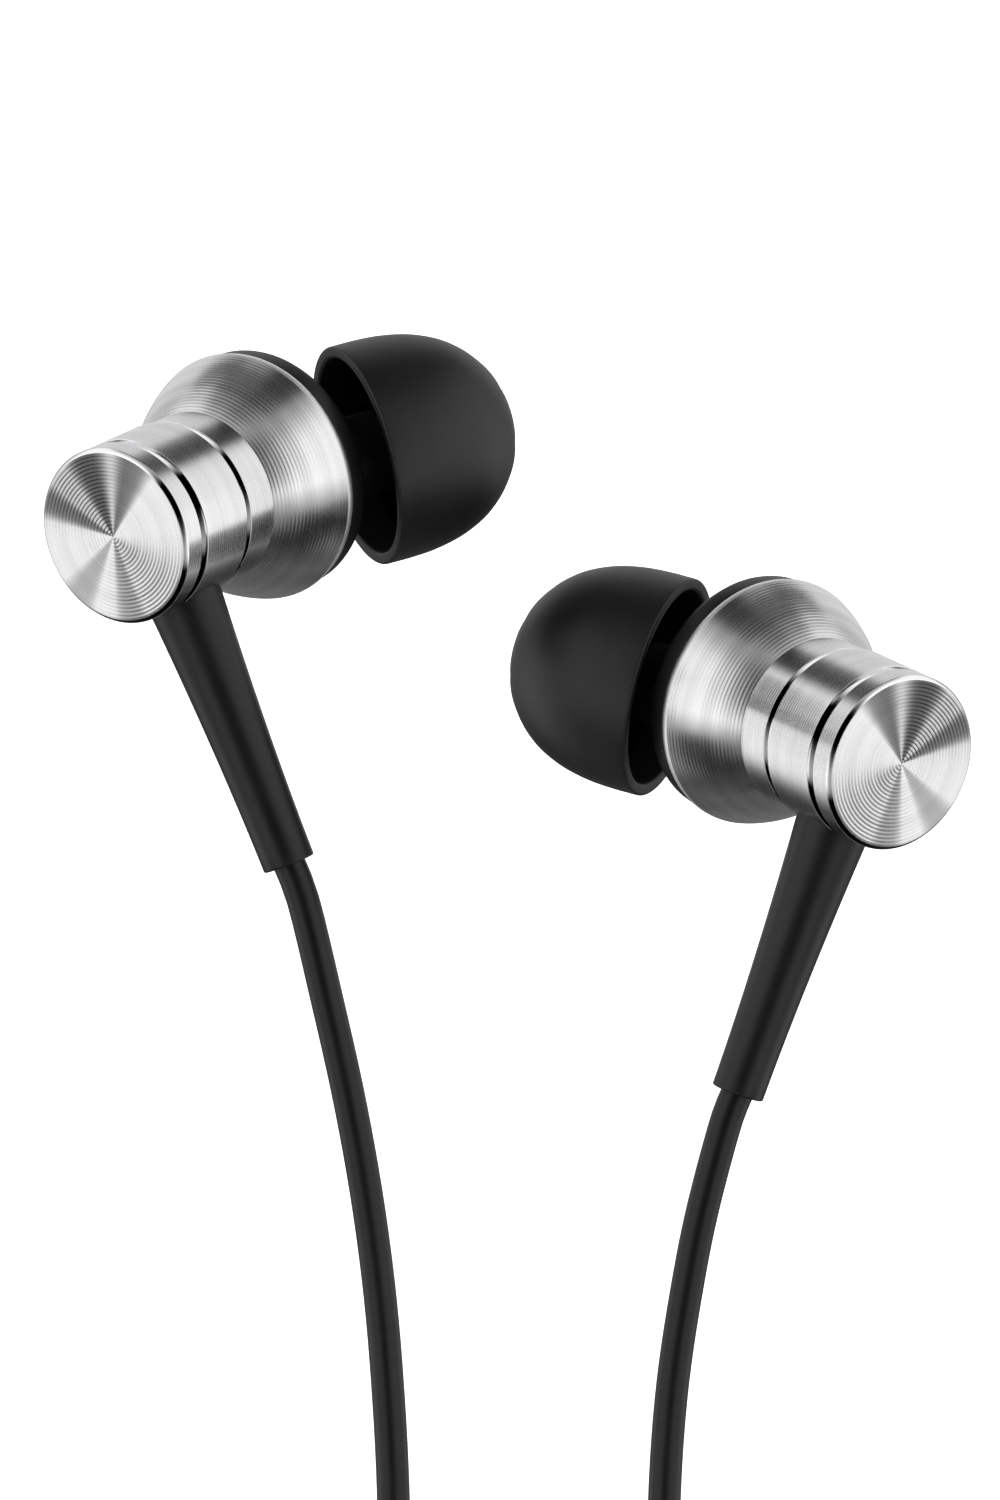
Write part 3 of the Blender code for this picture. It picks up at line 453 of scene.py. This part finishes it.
def smooth_points(route, step):
    """Points spaced evenly along a Catmull-Rom curve through the route."""
    knots = [Vector(p) for p in route]
    knots = [2 * knots[0] - knots[1], *knots, 2 * knots[-1] - knots[-2]]
    fine = []
    for a, b, c, d in zip(knots, knots[1:], knots[2:], knots[3:]):
        for i in range(CURVE_STEPS):
            t = i / CURVE_STEPS
            fine.append(0.5 * (2 * b + (c - a) * t + (2 * a - 5 * b + 4 * c - d) * t ** 2
                               + (3 * b - a - 3 * c + d) * t ** 3))
    fine.append(knots[-2])
    lengths = [0.0]
    for a, b in zip(fine, fine[1:]):
        lengths.append(lengths[-1] + (b - a).length)
    count = max(2, round(lengths[-1] / step))
    even = []
    j = 0
    for i in range(count + 1):
        want = lengths[-1] * i / count
        while j < len(fine) - 2 and lengths[j + 1] < want:
            j += 1
        share = (want - lengths[j]) / (lengths[j + 1] - lengths[j])
        even.append(fine[j].lerp(fine[j + 1], min(1.0, share)))
    return even


# ---- cords --------------------------------------------------------------------------------------
# A station of the hank is an angle round its fold, in degrees, and a share of half_run up from its middle.
hank_x, hank_z = -8.7 * MM, -155.0 * MM
half_run = 16.0 * MM
layer_y = [-16.575 * MM, -14.625 * MM, -12.675 * MM, -10.725 * MM]
fold_steps = 8
turn_stations = ([(0, 1.0), (0, 0.33), (0, -0.33), (0, -1.0)]
                 + [(-180 * k / fold_steps, -1.0) for k in range(1, fold_steps + 1)]
                 + [(180, -0.33), (180, 0.33), (180, 1.0)]
                 + [(180 - 180 * k / fold_steps, 1.0) for k in range(1, fold_steps)])
one_turn = len(turn_stations)


def wound(first, count, radius_from, pitch, layer_from, layer_to=None, shift=1):
    """Stations of a winding round the hank, clockwise seen from the front.

    It starts at the station with that number, and takes in that many. The layer changes over the first
    stations that shift counts.
    """
    points = []
    layer_to = layer_from if layer_to is None else layer_to
    for k in range(count):
        angle, side = turn_stations[(first + k) % one_turn]
        radius = radius_from + pitch * k / one_turn
        turn = math.radians(angle)
        share = min(1.0, k / shift)
        points.append((hank_x + radius * math.cos(turn), layer_from + (layer_to - layer_from) * share,
                       hank_z + side * half_run + radius * math.sin(turn)))
    return points


def cord(name, route, step, look, stands_for):
    points = smooth_points(route, step)
    curve = bpy.data.curves.new(name, "CURVE")
    curve.dimensions = "3D"
    curve.bevel_depth = cord_r
    curve.bevel_resolution = 5
    curve.use_fill_caps = True
    spline = curve.splines.new("POLY")
    spline.points.add(len(points) - 1)
    for point, place in zip(spline.points, points):
        point.co = (*place, 1.0)
    spline.use_smooth = True
    curve.materials.append(look)
    made = bpy.data.objects.new(name, curve)
    scene.collection.objects.link(made)
    on_body(made, root, "soft_jacket", *stands_for)
    return made


def spots(points):
    return [tuple(value * MM for value in point) for point in points]


left_free = spots([(-12.52, -13.65, -16.09), (-11.63, -13.89, -18.42), (-10.39, -14.3, -23.6),
                   (-9.13, -14.5, -29.3), (-8.12, -14.6, -34.98), (-7.39, -14.6, -40.65),
                   (-6.93, -14.6, -46.34), (-6.66, -14.6, -52.0), (-6.55, -14.6, -60.0), (-6.4, -14.6, -76.0),
                   (-5.2, -14.6, -86.0), (-1.6, -14.6, -95.5), (0.25, -14.6, -103.0), (0.25, -14.6, -105.5),
                   (0.25, -14.6, -109.5), (0.25, -14.6, -116.5), (0.25, -14.6, -120.3), (0.25, -14.6, -122.5),
                   (0.5, -15.88, -125.24), (1.5, -16.57, -128.44)])
right_upper = spots([(12.52, -13.65, -29.22), (11.81, -13.85, -31.08), (10.5, -14.2, -36.1),
                     (9.63, -14.45, -40.65), (8.96, -14.6, -45.2), (8.57, -14.6, -49.75),
                     (8.4, -14.6, -54.5), (8.4, -14.6, -58.2)])
right_lower = spots([(8.4, -14.6, -90.8), (8.3, -14.6, -92.8), (7.0, -14.6, -96.2), (4.4, -14.6, -99.8),
                     (2.75, -14.6, -103.5), (2.75, -14.6, -105.5), (2.75, -14.6, -109.5),
                     (2.75, -14.6, -116.5), (2.75, -14.6, -120.3), (2.75, -14.6, -122.5),
                     (2.5, -14.52, -125.24), (1.5, -14.62, -128.44)])
splitter_low, splitter_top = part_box("y_splitter")
splitter_x = (splitter_low.x + splitter_top.x) / 2
splitter_y = (splitter_low.y + splitter_top.y) / 2


def into_splitter(way):
    """The end of one of the two cords that enter the splitter side by side."""
    y = splitter_y + way * 0.95 * MM
    return [(hank_x - 4.2 * MM, y, hank_z - 11.4 * MM), (splitter_x - 0.1 * MM, y, hank_z - 8.3 * MM),
            (splitter_x, y, splitter_low.z - cord_gap)]


pair_count = 1 + 11 + 2 * one_turn       # to the station where the inner turn starts up its left run
pair_r, pair_pitch = 10.2 * MM, -1.86 * MM
left_route = left_free + wound(0, pair_count, pair_r, pair_pitch, layer_y[0]) + into_splitter(-1)
right_route = right_lower + wound(0, pair_count, pair_r, pair_pitch, layer_y[1]) + into_splitter(1)
outward = wound(14, 1 + 11 + 3 * one_turn, 6.0 * MM, 1.9 * MM, layer_y[2])
inward = wound(4, 8 + 3 * one_turn, 12.5 * MM, -1.98 * MM, layer_y[2] + 0.2 * MM, layer_y[3], 7)
plug_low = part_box("plug_boot")[0]
plug_boot_middle = sum(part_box("plug_boot"), Vector()) / 2
main_route = ([(splitter_x, splitter_y, splitter_top.z + cord_gap),
               (splitter_x - 0.2 * MM, splitter_y + 0.25 * MM, splitter_top.z + 2.4 * MM),
               (hank_x - 4.6 * MM, splitter_y + 1.7 * MM, splitter_top.z + 5.6 * MM)]
              + outward + inward
              + [(plug_boot_middle.x, -9.4 * MM, hank_z - 12.6 * MM),
                 (plug_boot_middle.x, -7.6 * MM, hank_z - 9.2 * MM),
                 (plug_boot_middle.x, plug_boot_middle.y, hank_z - 6.1 * MM),
                 (plug_boot_middle.x, plug_boot_middle.y, plug_low.z - cord_gap)])
cord("left_cord_run", left_route, 1.2 * MM, jacket,
     ["left_cord", "cord_hank"])
cord("right_cord_upper", right_upper, 0.8 * MM, jacket,
     ["right_upper_cord"])
cord("right_cord_lower", right_route, 1.2 * MM, jacket,
     ["right_lower_cord"])
cord("main_cord_run", main_route, 1.4 * MM, jacket, ["main_cord"])


# ---- earpieces ----------------------------------------------------------------------------------
def points_of(node):
    return [vert.co for vert in nodes[node].data.vertices]


def end_ring(node, direction, depth=0.01 * MM):
    """Middle of the ring of vertices that lies furthest along the direction, to within the depth."""
    places = points_of(node)
    furthest = max(p.dot(direction) for p in places)
    ring = [p for p in places if p.dot(direction) > furthest - depth]
    return sum(ring, Vector()) / len(ring)


def mount_axis(name):
    for mount in frame["record"]["mounts"]:
        if mount["name"] == name:
            return Vector(mount["axis"]).normalized()
    raise KeyError(name)


def joint_axis(name):
    for joint in frame["joints"]:
        if joint["name"] == name:
            return Vector(joint["axis"]).normalized()
    raise KeyError(name)


def frame_at(origin, z_axis, y_near):
    y_axis = (y_near - y_near.dot(z_axis) * z_axis).normalized()
    turn = Matrix((y_axis.cross(z_axis), y_axis, z_axis)).transposed()
    return Matrix.Translation(origin) @ turn.to_4x4()


def marked(profile, pitch, depth, look):
    """A profile with shallow circular tool marks, which stand out: each is a short rise and a long fall."""
    dense = []
    for (r0, z0), (r1, z1) in zip(profile, profile[1:]):
        count = max(1, round(math.hypot(r1 - r0, z1 - z0) / (pitch / STEPS_PER_MARK)))
        for k in range(count):
            dense.append((r0 + (r1 - r0) * k / count, z0 + (z1 - z0) * k / count))
    dense.append(profile[-1])
    made = []
    length = 0.0
    for i, (radius, height) in enumerate(dense):
        back, ahead = dense[max(0, i - 1)], dense[min(len(dense) - 1, i + 1)]
        if i:
            length += math.hypot(radius - dense[i - 1][0], height - dense[i - 1][1])
        way = Vector((ahead[0] - back[0], ahead[1] - back[1])).normalized()
        edge = min(1.0, i / 3, (len(dense) - 1 - i) / 3)       # the first and last marks fade out
        share = (length / pitch) % 1.0
        push = -depth * edge * min(share / MARK_RISE, (1.0 - share) / (1.0 - MARK_RISE))
        made.append((max(0.0, radius - way.y * push), height + way.x * push, look))
    return made


def flare(steps):
    """The bell's outer curve from the neck up to its land: one arc of a circle."""
    chord_r, chord_z = bell_r - neck_r, bell_z - flare_z
    length = math.hypot(chord_r, chord_z)
    slope = math.atan2(chord_r, chord_z)
    swing = math.radians(bell_swing)
    radius = length / (2 * math.sin(swing))
    points = []
    for i in range(steps + 1):
        turn = slope - swing + 2 * swing * i / steps
        along = radius * (math.sin(turn) - math.sin(slope - swing))
        out = radius * (math.cos(slope - swing) - math.cos(turn))
        points.append((bell_r - out, bell_z - along))
    return points[::-1]


# Which of its materials a stretch of a turned piece takes, in the order of cap_looks and housing_looks.
BAND, POLISHED, TURNED, GROOVE, RIM = range(5)
cap_looks = [band_metal, polished_metal, face_metal, groove_floor_painted]
housing_looks = [band_metal, polished_metal, bell_metal, groove_floor_painted, rim_metal]

# The same for an ear tip. Its inside takes a darker material of painted shade.
INSIDE_PAINTED_SHADE = 1
tip_looks = [tip_silicone, tip_inside_painted_shade]

# The ear tip's outer curve, as shares of its radius and of its length, from the top down.
tip_dome = [(0.34, 0.985), (0.47, 0.955), (0.60, 0.89), (0.73, 0.80), (0.845, 0.68), (0.935, 0.52),
            (0.985, 0.34), (1.0, 0.17), (1.0, 0.06)]


def marked_band(radius, low, high):
    """A cylinder's profile with fine tool marks."""
    return marked([(radius, low), (radius, high)], band_pitch, band_mark, BAND)


def cap_profile():
    edge = barrel_r - cap_chamfer
    groove_end = cap_length + groove_width
    face = marked([(0.0, 0.0), (edge - 0.06 * MM, 0.0)], ring_pitch, face_mark, TURNED)
    skirt = marked_band(barrel_r, cap_chamfer + edge_break, cap_length - edge_break)
    # The chamfer round the cap's face takes the groove floor's material, with its painted shade and painted
    # highlights.
    return [*face, (edge, 0.015 * MM, GROOVE), (barrel_r - 0.02 * MM, cap_chamfer, POLISHED), *skirt[:-1],
            (barrel_r, cap_length - edge_break, POLISHED), (barrel_r - edge_break, cap_length, GROOVE),
            (groove_r, cap_length, GROOVE), (groove_r, groove_end, POLISHED),
            (spigot_r, groove_end, POLISHED)]


def housing_profile():
    start = cap_length + groove_width
    groove_end = groove_2_z + groove_width
    band = marked_band(barrel_r, start + edge_break, groove_2_z - edge_break)
    neck = marked_band(neck_r, groove_end + edge_break, flare_z - 0.02 * MM)
    bell = marked(flare(16), ring_pitch, bell_mark, TURNED)
    land_height = rim_z - rim_chamfer - bell_z
    land = [(bell_r + land_bulge * math.sin(math.pi * k / 8), bell_z + land_height * k / 8, RIM)
            for k in range(1, 9)]
    return [(barrel_bore, start, GROOVE), (barrel_r - edge_break, start, POLISHED), *band[:-1],
            (barrel_r, groove_2_z - edge_break, POLISHED), (barrel_r - edge_break, groove_2_z, GROOVE),
            (groove_r, groove_2_z, GROOVE), (groove_r, groove_end, GROOVE),
            (neck_r - edge_break, groove_end, POLISHED), *neck, *bell, *land,
            (bell_r - rim_chamfer, rim_z, POLISHED), (bell_bore, rim_z, POLISHED),
            (bell_bore, rim_z - 1.3 * MM, POLISHED)]


def front_profile():
    dome_top = ring_top + dome_height
    return rounded([(front_spigot_r, rim_z - 1.2 * MM, 0), (front_spigot_r, front_z, 0),
                    (front_r, front_z, 0.08 * MM), (front_r, ring_top, 0.6 * MM),
                    (front_r * 0.86, ring_top + 0.45 * MM, 1.2 * MM), (front_r * 0.5, dome_top, 2.0 * MM),
                    (0.0, dome_top, 0)])


def nozzle_profile():
    pivot = -tip_seat
    mesh_seat = nozzle_reach - 0.3 * MM
    return rounded([(nozzle_root_r, pivot + 2.6 * MM, 0), (nozzle_root_r, pivot + 3.7 * MM, 0.5 * MM),
                    (nozzle_r, pivot + 5.0 * MM, 0.8 * MM), (nozzle_r, nozzle_reach - 1.0 * MM, 0.1 * MM),
                    (nozzle_lip_r, nozzle_reach - 0.85 * MM, 0.1 * MM),
                    (nozzle_lip_r, nozzle_reach, 0.12 * MM), (mesh_seat_r, nozzle_reach, 0.05 * MM),
                    (mesh_seat_r, mesh_seat, 0), (nozzle_bore_r, mesh_seat, 0),
                    (nozzle_bore_r, pivot + 4.0 * MM, 0)])


def tip_profile():
    dome = smooth_points([(tip_r * across, tip_length * along, 0.0) for across, along in tip_dome], 0.2 * MM)
    inner_r = tip_r - tip_lip
    bore_low = tip_length - 2.0 * MM
    mouth = rounded([(tip_bore, bore_low, 0), (tip_bore, tip_length, 0.18 * MM),
                     (tip_r * 0.33, tip_length, 0.2 * MM), (dome[1].x, dome[1].y, 0)])
    skirt = rounded([(dome[-2].x, dome[-2].y, 0), (tip_r, 0.0, 0.16 * MM), (inner_r, 0.0, 0.22 * MM),
                     (inner_r, 2.4 * MM, 0.5 * MM), (inner_r * 0.9, 4.4 * MM, 1.0 * MM),
                     (inner_r * 0.74, 6.0 * MM, 1.0 * MM), (core_r, 6.8 * MM, 0.3 * MM),
                     (core_r, core_low, 0.1 * MM), (core_inner_r, core_low, 0.1 * MM),
                     (core_inner_r, 6.35 * MM, 0), (tip_bore, 6.65 * MM, 0), (tip_bore, bore_low, 0)])
    lip = 1 + 2 * (ROUND_STEPS + 1)          # the skirt's points down to its edge and round it
    outside = mouth[:-1] + [(point.x, point.y) for point in dome[1:-2]] + skirt[:lip]
    return outside + [(radius, height, INSIDE_PAINTED_SHADE) for radius, height in skirt[lip:]]


def boot_profile():
    taper = []
    for k in range(16):
        share = k / 16
        taper.append((boot_end_r + (boot_top_r - boot_end_r) * (1 - share) ** boot_waist,
                      -barrel_r - (boot_end - barrel_r) * share, 0))
    return rounded([(1.0 * MM, boot_top, 0), (boot_top_r, boot_top, 0), *taper,
                    (boot_end_r, -boot_end, 0.12 * MM), (1.02 * MM, -boot_end, 0.1 * MM),
                    (1.02 * MM, -boot_end + 1.5 * MM, 0)])


def earpiece(label):
    cap_axis = -mount_axis(label + "_cap_face")
    cap_middle = end_ring(label + "_end_cap", -cap_axis)
    boot_way = end_ring(label + "_strain_relief", Vector((0, 0, -1)), 3.0 * MM) - cap_middle
    bud = frame_at(cap_middle, cap_axis, -boot_way)
    boot = bud @ Matrix.Translation((0, 0, boot_z)) @ Matrix.Rotation(math.radians(-90), 4, "X")
    tip_axis = joint_axis(label + "_ear_tip_slide")
    tip = frame_at(end_ring(label + "_ear_tip", -tip_axis), tip_axis, Vector((0, 0, 1)))
    hand = 1.0 if label == "left" else -1.0

    on_body(lathe(label + "_cap", cap_profile(), cap_looks, bud, hand=hand), root, "turned_aluminium",
            label + "_end_cap")
    on_body(lathe(label + "_housing", housing_profile(), housing_looks, bud, hand=hand), root,
            "turned_aluminium", label + "_rear_housing")
    on_body(lathe(label + "_front", front_profile(), [moulded], bud), root, "black_plastic",
            label + "_front_housing")
    on_body(lathe(label + "_nozzle", nozzle_profile(), [moulded], tip, 96), root, "black_plastic")
    on_body(lathe(label + "_tip", tip_profile(), tip_looks, tip, sharp=50.0), label + "_ear_tip_body",
            "black_silicone", label + "_ear_tip")
    on_body(lathe(label + "_boot", boot_profile(), [boot_silicone], boot, 96), root, "black_silicone",
            label + "_strain_relief")


for side in ("left", "right"):
    earpiece(side)

# ---- the nodes that keep their CAD shape --------------------------------------------------------
# In each earpiece, and then those that there is one of.
finish_of = {"nozzle_mesh": steel, "gasket": tip_silicone, "driver_frame": moulded, "diaphragm": film,
             "voice_coil": copper, "yoke": steel, "magnet": magnet_metal, "top_plate": steel,
             "driver_board": board, "tuning_filter": felt, "cord_crimp": brass, "inner_lead": jacket}
finish_alone = {"hank_tie": strap, "y_splitter": moulded, "cord_slider": moulded,
                "remote_front_shell": satin_metal, "remote_back_shell": moulded, "volume_up_button": moulded,
                "play_button": moulded, "volume_down_button": moulded, "remote_board": board,
                "volume_up_switch": steel, "play_switch": steel, "volume_down_switch": steel,
                "microphone": steel, "plug_boot": boot_silicone, "plug_housing": satin_metal,
                "plug_sleeve": gold, "plug_ring_inner": gold, "plug_ring_outer": gold, "plug_tip": gold,
                "plug_insulator": moulded}


def finish(node, look):
    """Gives a CAD node its material, and shades its rounds smooth."""
    data = nodes[node].data
    data.materials.clear()
    data.materials.append(look)
    data.shade_smooth()
    data.set_sharp_from_angle(angle=math.radians(40.0))


for side in ("left_", "right_"):
    for node, look in finish_of.items():
        finish(side + node, look)
for node, look in finish_alone.items():
    finish(node, look)

# ---- studio -------------------------------------------------------------------------------------
floor_reach = 6.0
floor_corners = [(x * floor_reach, y * floor_reach, 0) for x, y in ((-1, -1), (1, -1), (1, 1), (-1, 1))]
floor_mesh = bpy.data.meshes.new("floor")
floor_mesh.from_pydata(floor_corners, [], [(0, 1, 2, 3)])
floor = bpy.data.objects.new("floor", floor_mesh)
floor.location.z = cad_box[0].z - 6.0 * MM
scene.collection.objects.link(floor)
white, _, white_shader = new_material("floor_white")
white_shader.inputs["Base Color"].default_value = (0.9, 0.9, 0.9, 1.0)
white_shader.inputs["Emission Color"].default_value = (1.0, 1.0, 1.0, 1.0)
white_shader.inputs["Emission Strength"].default_value = 1.1
floor_mesh.materials.append(white)

# Only the camera sees the floor, so it lights and shades nothing.
floor.visible_glossy = False
floor.visible_diffuse = False
floor.visible_shadow = False

# The room round the earpieces is lit evenly, with brighter and darker cards in it. It is the same on both
# sides: a card's middle is (how far to the side, up, towards the camera), then its inner and outer angle
# in degrees, and its brightness.
cards = [((0.0, 0.50, -0.87), 27, 42, 0.80),
         ((0.0, -0.45, -0.90), 24, 40, 0.20),
         ((0.88, -0.12, 0.30), 38, 66, 1.15),
         ((0.76, 0.60, -0.08), 8, 26, 1.0),
         ((0.10, 0.93, 0.35), 9, 20, 0.03),
         ((0.25, 0.90, 0.0), 9, 20, 0.03),
         ((0.36, 0.85, -0.40), 8, 18, 0.03),
         ((0.0, -1.0, -0.10), 30, 46, 0.15),
         ((0.655, -0.72, 0.20), 12.5, 23, 0.02),
         ((0.45, -0.45, -0.77), 4, 22, 0.05),
         ((0.0, 0.05, 1.0), 16, 40, 0.01)]
room_light = 0.36
background = 1.2             # what the camera sees behind the object

world = bpy.data.worlds.new("studio")
scene.world = world
world.use_nodes = True
sky = world.node_tree
way = add(sky, "ShaderNodeTexCoord").outputs["Generated"]


def along(axis):
    """How far the direction of a ray points along an axis."""
    dot = add(sky, "ShaderNodeVectorMath", {0: way, 1: tuple(axis)}, operation="DOT_PRODUCT")
    return dot.outputs["Value"]


folded = add(sky, "ShaderNodeCombineXYZ", {"X": calc(sky, "ABSOLUTE", along(view_right)), "Y": along(view_up),
                                           "Z": along(view_back)}).outputs[0]
level = room_light
for middle, inner, outer, brightness in cards:
    share = facing(sky, folded, Vector(middle).normalized(), outer, inner)
    level = add(sky, "ShaderNodeMix", {"Factor": share, "A": level, "B": brightness}).outputs["Result"]

seen = add(sky, "ShaderNodeLightPath").outputs["Is Camera Ray"]
strength = add(sky, "ShaderNodeMix", {"Factor": seen, "A": level, "B": background}).outputs["Result"]
sky.links.new(strength, sky.nodes["Background"].inputs["Strength"])
sky.nodes["Background"].inputs["Color"].default_value = (1.0, 1.0, 1.0, 1.0)
